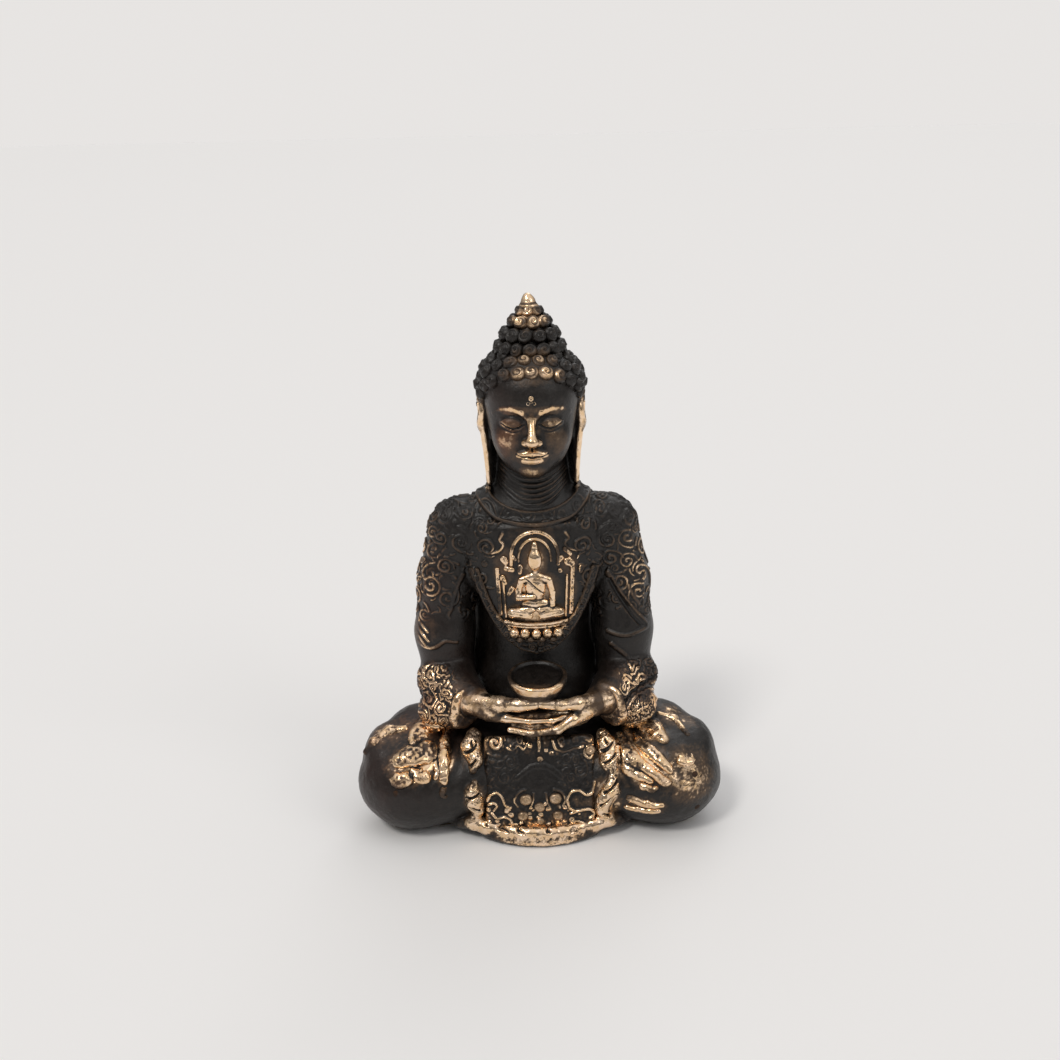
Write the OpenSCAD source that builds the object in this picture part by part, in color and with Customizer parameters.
// Seated meditating figure in cast bronze, worn bright on its high points.
//
// The figure is laid out as the founder builds it: hollow leg and torso castings, and the head,
// hair, limbs, hands, bowl, chest relief and front apron as separate pieces joined to them. A
// plate closes the hollow underneath and pins plug the holes that the casting core hung from.
//
// Frame: +Z up, the figure faces -Y, and the origin is the middle of the footprint on the plane
// that the figure rests on. "left" and "right" are the figure's own, so its left is at +X.
// All lengths are in millimetres.

/* [Overall] */
// Width across the knees
knee_span = 90; // [86:0.5:94]
// Height from the resting plane to the tip of the finial
figure_h = 128; // [127:0.5:130]
// Width across the sleeves at the elbows
elbow_span = 58.5; // [57:0.5:60]
// Width across the shoulders
shoulder_span = 53; // [51:0.5:54]

/* [Castings] */
// Wall of the hollow leg and torso castings
wall = 3; // [2.4:0.2:3.6]
// Thickness of the plate that closes the hollow
plate_t = 1.2; // [0.8:0.1:1.6]
// Radius of a core pin
pin_r = 0.8; // [0.6:0.1:1]

/* [Relief] */
// How far the chest panel stands off the robe
panel_t = 1.2; // [1:0.1:1.4]
// How far the niche and its figure stand off the chest panel
relief_t = 1.1; // [0.9:0.1:1.3]
// Radius of a hair curl at its base
curl_r = 1.3; // [1.1:0.05:1.4]
// Height of a hair curl
curl_h = 1; // [0.8:0.1:1.2]

/* [Front apron] */
// How far the apron's edge stands in front of the origin
apron_front = 25.5; // [25:0.5:27]
// Half the width of the apron where it meets the legs
apron_half = 20; // [19:0.5:21]
// Thickness of the apron's plate
apron_t = 2.2; // [1.8:0.2:2.6]
// Radius of the bead along the apron's edge
bead_r = 1.4; // [1.2:0.1:1.6]

/* [Hidden] */

DARK = "#2a2320";
BROWN = "#3b2d26";
BRIGHT = "#c79a5b";
COPPER = "#8c5a3c";
IRON = "#4a4642";

body_fn = 20;       // facets round a smooth form
fine_fn = 28;       // facets round the head
hollow_fn = 16;     // facets round a hollow
far = 200;          // larger than the figure, for cutting at a plane
gap = 0.02;         // what applied pieces stand clear by

waist_z = 26;       // the plane where the torso sits on the legs
neck_z = 79;        // the plane where the neck sits on the torso

hip_r = 13.5;
hip = [13, 12.5, 11];
knee_r = 12;
knee = [knee_span / 2 - knee_r, -11.5, 10.8];
shin_r = 10.8;
shin = [17, -10.5, 9.6];

shoulder_r = 7.5;
shoulder = [shoulder_span / 2 - shoulder_r, 4.5, 71];
elbow_r = 6.8;
elbow = [elbow_span / 2 - elbow_r, 3.5, 39];
forearm = [20.8, 0, 33.5];
wrist = [14.5, -10.5, 31.5];

head_c = [0, 3.5, 104.5];       // middle of the skull
head_size = [11.4, 12.6, 13.2];
jaw_c = [0, -0.6, 95];
jaw_size = [9.4, 8.4, 8];
hair_t = 1.5;                   // thickness of the hair cap over the skull
hairline_tilt = 38;             // the hairline falls from the brow to the nape
crown_z = 116;                  // the plane where the ushnisha sits on the hair cap
ushnisha_r = 7.2;
finial_h = 4.2;
ushnisha_top = figure_h - finial_h;

bowl_c = [0, -11.6, 34.8];
bowl_r = 7.2;
bowl_h = 4.6;

panel_c = [0, 59];              // x and z of the chest panel's middle
panel_half = [14.5, 18.5];
niche_z = 63;                   // where the arch springs from its columns
niche_r = 5.4;
niche_foot = 51;

apron_r = (apron_half * apron_half + pow(apron_front - 14, 2)) / (2 * (apron_front - 14));
apron_cy = apron_r - apron_front;

// ---------------------------------------------------------------- shapes that repeat

module ball(p, r, fn = body_fn) translate(p) sphere(r = r, $fn = fn);

module limb(a, ra, b, rb, fn = body_fn) {
    hull() {
        ball(a, ra, fn);
        ball(b, rb, fn);
    }
}

module egg(c, size, fn = body_fn) translate(c) hull() scale(size) sphere(r = 1, $fn = fn);

module both_sides() {
    children();
    mirror([1, 0, 0]) children();
}

module above(z) translate([-far / 2, -far / 2, z]) cube(far);

module below(z) translate([-far / 2, -far / 2, z - far]) cube(far);

// A flat outline in x and z, cut straight through along y from the front to the figure's middle
module stamped() translate([0, 2, 0]) rotate([90, 0, 0]) linear_extrude(30) children();

// Points of an arc round c
function arc(c, r, from, to, n) =
    [for (i = [0:n]) let(a = from + (to - from) * i / n) [c[0] + r[0] * cos(a), c[1] + r[1] * sin(a)]];

// ---------------------------------------------------------------- body forms

module legs_form(inset = 0, fn = body_fn) {
    both_sides() {
        limb(hip, hip_r - inset, knee, knee_r - inset, fn);
        limb(knee, knee_r - inset, shin, shin_r - inset, fn);
    }
    egg([0, 4, 11], [17 - inset, 19.5 - inset, 14 - inset], fn);
}

module torso_form(inset = 0, fn = body_fn) {
    hull() {
        egg([0, 8.5, 24], [18 - inset, 13 - inset, 14 - inset], fn);
        egg([0, 7.5, 40], [16 - inset, 10 - inset, 10 - inset], fn);
    }
    hull() {
        egg([0, 7.5, 40], [16 - inset, 10 - inset, 10 - inset], fn);
        egg([0, 4.2, 62], [18.5 - inset, 11.4 - inset, 14 - inset], fn);
    }
    hull() {
        egg([0, 4.6, 66], [18.5 - inset, 10.6 - inset, 12 - inset], fn);
        egg([0, 4.8, 72.4], [22.4 - inset, 8.2 - inset, 7.4 - inset], fn);
        egg([0, 4.8, 77.6], [11.6 - inset, 8.4 - inset, 4.4 - inset], fn);
    }
}

// The chest from its middle forwards, grown outwards by a given amount
module chest_form(grow) {
    hull() {
        egg([0, 4.2, 62], [18.5 + grow, 11.4 + grow, 14 + grow], fine_fn);
        egg([0, 7.5, 40], [16 + grow, 10 + grow, 10 + grow], fine_fn);
        egg([0, 4.6, 73], [20 + grow, 8.6 + grow, 8 + grow], fine_fn);
    }
}

module sleeve_form() limb(shoulder, shoulder_r, elbow, elbow_r);

module forearm_form() limb(forearm, 6.2, wrist, 4);

module head_form() {
    hull() {
        egg(head_c, head_size, fine_fn);
        egg(jaw_c, jaw_size, fine_fn);
    }
}

module neck_form() {
    hull() {
        egg([0, 4.5, 92], [9.2, 8.6, 4], body_fn);
        egg([0, 4.8, 79], [10.2, 9, 4], body_fn);
    }
}

module legs_hollow() {
    legs_form(wall, hollow_fn);
    translate([0, 0, plate_t / 2]) linear_extrude(6) offset(delta = -1.5) plate_outline();
}

module torso_hollow() {
    intersection() {
        torso_form(wall + 1, hollow_fn);
        below(neck_z - 8);
    }
}

// ---------------------------------------------------------------- castings

// Outline of the closing plate: two knee lobes and the seat behind them, each an arc
module plate_outline() {
    polygon(concat(
        [[21, -13.7]], arc([knee[0], knee[1]], [5, 4.2], -90, 40, 8),
        arc([hip[0], hip[1]], [6.5, 6.5], 20, 90, 6),
        arc([-hip[0], hip[1]], [6.5, 6.5], 90, 160, 6),
        arc([-knee[0], knee[1]], [5, 4.2], 140, 270, 8), [[-21, -13.7]]
    ));
}

module legs_casting() color(DARK) {
    difference() {
        intersection() {
            legs_form();
            above(0);
            below(waist_z);
        }
        legs_hollow();
        torso_hollow();
        translate([0, 0, -1]) linear_extrude(plate_t + 1) plate_outline();
        apron_body();
        both_sides() forearm_form();
        pins(2);
    }
}

module torso_casting() color(DARK) {
    difference() {
        intersection() {
            torso_form();
            above(waist_z);
            below(neck_z);
        }
        torso_hollow();
    }
}

module neck() color(DARK) {
    difference() {
        intersection() {
            neck_form();
            above(neck_z);
        }
        head_form();
    }
}

module base_plate() color(COPPER) linear_extrude(plate_t) plate_outline();

// Where the core pins pass through the wall: a rounded form's middle and radius, and a way out
pin_places = [
    [[-knee[0], knee[1], knee[2]], knee_r, [-0.12, -0.96, 0.27]],
    [knee, knee_r, [0.38, -0.8, 0.48]],
    [knee, knee_r, [0.44, -0.84, -0.3]],
    [[-hip[0], hip[1], hip[2]], hip_r, [-0.2, 1, 0.1]],
    [hip, hip_r, [0.2, 1, 0.1]]
];

// Each pin fills the wall to just under the surface, and its hole runs further out
module pins(out = 0) {
    for (p = pin_places) {
        way = p[2] / norm(p[2]);
        translate(p[0] + way * (p[1] - wall)) rotate([0, acos(way[2]), atan2(way[1], way[0])])
            cylinder(r = pin_r, h = wall - 0.4 + out, $fn = 24);
    }
}

module core_pins() color(IRON) pins();

// ---------------------------------------------------------------- head

module head() color(BROWN) {
    difference() {
        head_form();
        hair_form();
    }
}

// The half space behind and above the hairline, which falls from the brow to behind the ears
module hair_side() {
    translate([0, -8.6, 109.5]) rotate([hairline_tilt, 0, 0]) translate([-far / 2, 0, -far / 2]) cube(far);
}

module hair_form() {
    intersection() {
        difference() {
            egg(head_c, head_size + [hair_t, hair_t, hair_t], fine_fn);
            egg(head_c, head_size - [0.2, 0.2, 0.2], fine_fn);
        }
        hair_side();
        below(crown_z);
        above(86);
    }
}

module hair_cap() color(DARK) difference() {
    hair_form();
    neck_form();
}

// One curl: a low cone with a rounded tip, standing on the surface
module curl(r, h) {
    rotate_extrude($fn = 16)
        polygon([[0, 0], [r, 0], [r * 0.86, h * 0.5], [r * 0.35, h], [0, h]]);
}

// Puts a child on the egg with middle c and half sizes s, at a turn and a height angle, facing out
module on_egg(c, s, turn, rise) {
    p = [s[0] * cos(rise) * cos(turn), s[1] * cos(rise) * sin(turn), s[2] * sin(rise)];
    n = [p[0] / (s[0] * s[0]), p[1] / (s[1] * s[1]), p[2] / (s[2] * s[2])];
    u = n / norm(n);
    translate(c + p + u * gap) rotate([0, acos(u[2]), atan2(u[1], u[0])]) children();
}

hair_size = head_size + [hair_t, hair_t, hair_t];

// Lowest rise of a hair row's curls at a turn, so that they keep behind the hairline
function hair_floor(turn) = 24 + 46 * sin(turn) * -1 * (sin(turn) < 0 ? 0.12 : 1.05);

module hair_curls() color(BROWN) {
    rows = 5;
    for (row = [0:rows - 1]) {
        rise = 27 + row * 11.2;
        count = round(360 * cos(rise) * hair_size[0] / (57.3 * curl_r * 2.12));
        for (i = [0:count - 1])
            on_egg(head_c, hair_size, (i + (row % 2) / 2) * 360 / count, rise) curl(curl_r, curl_h);
    }
    for (row = [0:4]) {
        rise = 15.5 - row * 11.4;
        count = 22;
        for (i = [0:count - 1]) {
            turn = -30 + row * 18 + i * (240 - row * 36) / (count - 1);
            if (i % 2 == 0) on_egg(head_c, hair_size, turn, rise) curl(curl_r, curl_h);
        }
    }
}

module ushnisha() color(DARK) {
    translate([head_c[0], head_c[1], 0]) rotate_extrude($fn = 64)
        polygon([
            [0, crown_z], [ushnisha_r, crown_z], [ushnisha_r * 0.9, crown_z + 2.4],
            [ushnisha_r * 0.66, crown_z + 4.8], [ushnisha_r * 0.36, ushnisha_top], [0, ushnisha_top]
        ]);
}

module ushnisha_curls() color(BRIGHT) {
    slant = atan2(ushnisha_r * 0.64, ushnisha_top - crown_z);
    for (row = [0:2]) {
        z = crown_z + 1.3 + row * 2.4;
        r = ushnisha_r * (1 - 0.62 * (z - crown_z) / (ushnisha_top - crown_z)) + 0.25;
        count = [16, 13, 9][row];
        for (i = [0:count - 1])
            rotate([0, 0, (i + (row % 2) / 2) * 360 / count])
                translate([r + 0.25, 0, z]) rotate([0, 90 - slant, 0]) curl(curl_r * 0.92, curl_h);
    }
}

module finial() color(BRIGHT) {
    translate([head_c[0], head_c[1], ushnisha_top]) rotate_extrude($fn = 48)
        polygon([
            [0, 0], [ushnisha_r * 0.36, 0], [ushnisha_r * 0.38, finial_h * 0.25],
            [ushnisha_r * 0.22, finial_h * 0.6], [0.4, finial_h], [0, finial_h]
        ]);
}

module ear_form() {
    hull() {
        ball([12.3, 4.2, 101.2], 1.7, 14);
        ball([12, 4.6, 96], 1.5, 14);
    }
    hull() {
        ball([12, 4.6, 96], 1.3, 14);
        ball([11.2, 3.4, 84.5], 1.1, 14);
    }
}

module one_ear() difference() {
    ear_form();
    head_form();
    hair_form();
    neck_form();
}

module left_ear() color(BRIGHT) one_ear();

module right_ear() color(BRIGHT) mirror([1, 0, 0]) one_ear();

module forehead_mark() color(BRIGHT) {
    on_egg(head_c, head_size, -90, 11) cylinder(r = 1, h = 0.5, $fn = 24);
}

// ---------------------------------------------------------------- chest

// An upright oval tube round the neck
module neck_tube(inner, outer) translate([0, 4.6, 66]) scale([1, 0.8, 1]) difference() {
    cylinder(r = outer, h = 20, $fn = 48);
    translate([0, 0, -1]) cylinder(r = inner, h = 22, $fn = 48);
}

module collar_band() color(BROWN) difference() {
    intersection() {
        torso_form(-0.9, fine_fn);
        neck_tube(11.6, 14.6);
    }
    torso_form();
    neck_form();
}

// A shield with a round foot, its middle at panel_c
module shield(grow) {
    w = panel_half[0] + grow;
    h = panel_half[1] + grow;
    polygon(concat(
        [for (p = arc([0, 0], [w, h], 200, 340, 14)) [p[0], p[1] + panel_c[1]]],
        [[w * 0.92, panel_c[1] + h * 0.45], [w * 0.55, panel_c[1] + h * 0.62],
         [-w * 0.55, panel_c[1] + h * 0.62], [-w * 0.92, panel_c[1] + h * 0.45]]
    ));
}

module chest_panel() color(DARK) difference() {
    intersection() {
        chest_form(panel_t);
        stamped() shield(0);
        above(40);
    }
    torso_form();
    chest_form(0);
}

module panel_border() color(BROWN) difference() {
    intersection() {
        chest_form(panel_t + relief_t * 0.6);
        stamped() difference() {
            shield(0);
            shield(-1.6);
            translate([-30, panel_c[1] + 4]) square([60, 30]);
        }
    }
    chest_form(panel_t + gap);
}

// What stands on the chest panel: the outline given, as thick as the relief times a share
module on_panel(share = 1) difference() {
    intersection() {
        chest_form(panel_t + relief_t * share);
        stamped() children();
    }
    chest_form(panel_t + gap);
}

module niche_arch() color(BROWN) on_panel(0.8) difference() {
    polygon(concat(arc([0, niche_z], [niche_r + 1, niche_r + 2.6], 0, 180, 16)));
    polygon(concat(arc([0, niche_z - 0.01], [niche_r - 0.2, niche_r + 1.4], 0, 180, 16)));
}

module niche_columns() color(BRIGHT) on_panel(0.8) both_sides() {
    translate([niche_r + 2, niche_foot]) square([1.3, niche_z - niche_foot - 1]);
}

module relief_figure() color(BRIGHT) on_panel(1) {
    polygon(arc([0, 66.2], [1.5, 2.4], 0, 350, 14));
    polygon([[-3.6, 62.4], [3.6, 62.4], [3.2, 55.6], [-3.2, 55.6]]);
    translate([-1, 62]) square([2, 2.4]);
    polygon(arc([0, 54], [6.4, 2.6], 0, 350, 18));
}

module lotus_pedestal() color(BRIGHT) on_panel(0.9) {
    polygon([[-7.6, 50.9], [7.6, 50.9], [7.2, 49.4], [-7.2, 49.4]]);
    polygon([[-6.6, 49], [6.6, 49], [4.6, 46.4], [-4.6, 46.4]]);
}

// ---------------------------------------------------------------- arms and hands

module one_sleeve() difference() {
    sleeve_form();
    torso_form();
}

module left_sleeve() color(DARK) one_sleeve();

module right_sleeve() color(DARK) mirror([1, 0, 0]) one_sleeve();

module one_forearm() difference() {
    forearm_form();
    sleeve_form();
    torso_form();
}

module left_forearm() color(BROWN) one_forearm();

module right_forearm() color(BROWN) mirror([1, 0, 0]) one_forearm();

// The gathered hem of a sleeve, which spreads over the thigh under the forearm
module one_cuff() difference() {
    hull() {
        egg([24, -3.5, 26.5], [4.6, 6, 2.6], 16);
        egg([17, -8.5, 27], [3.4, 4.4, 2.6], 16);
    }
    forearm_form();
    sleeve_form();
    legs_form();
    torso_form();
}

module left_cuff() color(COPPER) one_cuff();

module right_cuff() color(COPPER) mirror([1, 0, 0]) one_cuff();

module right_hand_form() {
    hull() {
        ball([-12.6, -13.2, 31.8], 2.7, 14);
        ball([-5, -16, 31.9], 2.6, 14);
    }
    hull() {
        ball([-5, -16, 31.9], 2.3, 14);
        ball([7.5, -16.4, 31.6], 1.7, 14);
    }
}

module left_hand_form() {
    hull() {
        ball([12.6, -13.4, 30.6], 2.7, 14);
        ball([5, -16.4, 28.4], 2.4, 14);
    }
    hull() {
        ball([5, -16.4, 28.4], 2.2, 14);
        ball([-7.5, -16.8, 28], 1.7, 14);
    }
}

module right_hand() color(BRIGHT) difference() {
    right_hand_form();
    both_sides() forearm_form();
}

module left_hand() color(BRIGHT) difference() {
    left_hand_form();
    both_sides() forearm_form();
    right_hand_form();
    legs_form();
    apron_body();
}

module alms_bowl() color(DARK) {
    translate(bowl_c) rotate_extrude($fn = 64)
        polygon([
            [0, 0], [bowl_r * 0.55, 0], [bowl_r * 0.86, bowl_h * 0.35], [bowl_r, bowl_h * 0.8],
            [bowl_r * 0.97, bowl_h], [bowl_r * 0.86, bowl_h], [bowl_r * 0.82, bowl_h - 0.6],
            [0, bowl_h - 0.6]
        ]);
}

// ---------------------------------------------------------------- knees and apron

// Folds of the robe that fan out over the knee, as raised ribs
fold_ribs = [
    [[20, -20.4, 17.5], 1.3, [31, -21.6, 15.6], 1.5],
    [[20, -21, 12.6], 1.2, [30, -22.8, 9.6], 1.4],
    [[20, -14.5, 22.2], 1.2, [32, -14.6, 22.2], 1.4]
];

module one_knee_folds() difference() {
    for (f = fold_ribs) limb(f[0], f[1], f[2], f[3], 14);
    legs_form();
    both_sides() forearm_form();
    one_cuff();
    apron_body();
}

module left_knee_folds() color(BRIGHT) one_knee_folds();

module right_knee_folds() color(BRIGHT) mirror([1, 0, 0]) one_knee_folds();

// The round-fronted plate that the apron stands on
module apron_outline(r) {
    a = acos(apron_half / r);
    polygon(arc([0, apron_cy], [r, r], 180 + a, 360 - a, 32));
}

// The apron's sloping block, from a round-fronted foot up to a straight top edge under the hands
module apron_block(foot) {
    hull() {
        translate([0, 0, foot]) linear_extrude(0.1) apron_foot(3.2, 14.8);
        translate([0, 0, 11]) linear_extrude(0.1) apron_foot(5.4, 14);
        translate([-12.4, -16.4, 24.3]) cube([24.8, 3, 0.1]);
    }
}

module apron_foot(back, half) intersection() {
    translate([0, apron_cy]) circle(r = apron_r - back, $fn = 64);
    translate([-half, -30]) square([2 * half, 30 - 13.6]);
}

// The apron's plate and block, which the legs are cut to
module apron_body() {
    translate([0, 0, -1]) linear_extrude(apron_t + 1) apron_outline(apron_r - bead_r);
    apron_block(apron_t / 2);
}

module apron_plate() color(DARK) linear_extrude(apron_t) apron_outline(apron_r - bead_r);

module apron_panel() color(DARK) difference() {
    apron_block(apron_t / 2);
    below(apron_t);
}

module apron_bead_form() {
    a = acos(apron_half / apron_r);
    translate([0, apron_cy, 0]) rotate([0, 0, 180 + a]) rotate_extrude(angle = 180 - 2 * a, $fn = 96)
        translate([apron_r - bead_r, apron_t + 0.3]) circle(r = bead_r, $fn = 32);
}

module apron_bead() color(BRIGHT) difference() {
    apron_bead_form();
    apron_body();
    legs_form();
    below(0.01);
}

module one_border() difference() {
    union() {
        limb([13.2, -15.6, 23], 1.5, [15.4, -17.6, 12], 1.6, 12);
        limb([15.4, -17.6, 12], 1.6, [15.6, -17.8, 4.4], 1.4, 12);
    }
    legs_form();
    apron_body();
    apron_bead_form();
}

module apron_borders() color(BRIGHT) both_sides() one_border();

// Bosses low on the apron's face and along its top: a turn round the face, a height and a radius
bosses = [[0, 7.4, 1.2], [-14, 6, 1.2], [14, 6, 1.2], [0, 4.4, 1], [-30, 7, 1.5], [30, 7, 1.5],
          [-9, 9.6, 1.1], [9, 9.6, 1.1]];

// How far the face lies from the apron's centre at a height
function face_r(z) = apron_r - 3.2 - (z - apron_t / 2) * 2.2 / (11 - apron_t / 2);

module apron_bosses() color(BROWN) {
    for (b = bosses)
        translate([0, apron_cy, b[1]]) rotate([0, 0, b[0] - 90]) translate([face_r(b[1]) + gap, 0, 0])
            rotate([0, 77, 0]) boss(b[2]);
}

module boss(r) rotate_extrude($fn = 20)
    polygon([[0, 0], [r, 0], [r * 0.8, r * 0.5], [r * 0.3, r * 0.8], [0, r * 0.8]]);

// ---------------------------------------------------------------- which node is drawn

legs_casting();
torso_casting();
neck();
head();
hair_cap();
hair_curls();
ushnisha();
translate([0, head_c[1], 0]) ushnisha_curls();
finial();
left_ear();
right_ear();
forehead_mark();
collar_band();
chest_panel();
panel_border();
niche_arch();
niche_columns();
relief_figure();
lotus_pedestal();
left_sleeve();
right_sleeve();
left_forearm();
right_forearm();
left_cuff();
right_cuff();
left_hand();
right_hand();
alms_bowl();
left_knee_folds();
right_knee_folds();
apron_plate();
apron_panel();
apron_bead();
apron_borders();
apron_bosses();
base_plate();
core_pins();
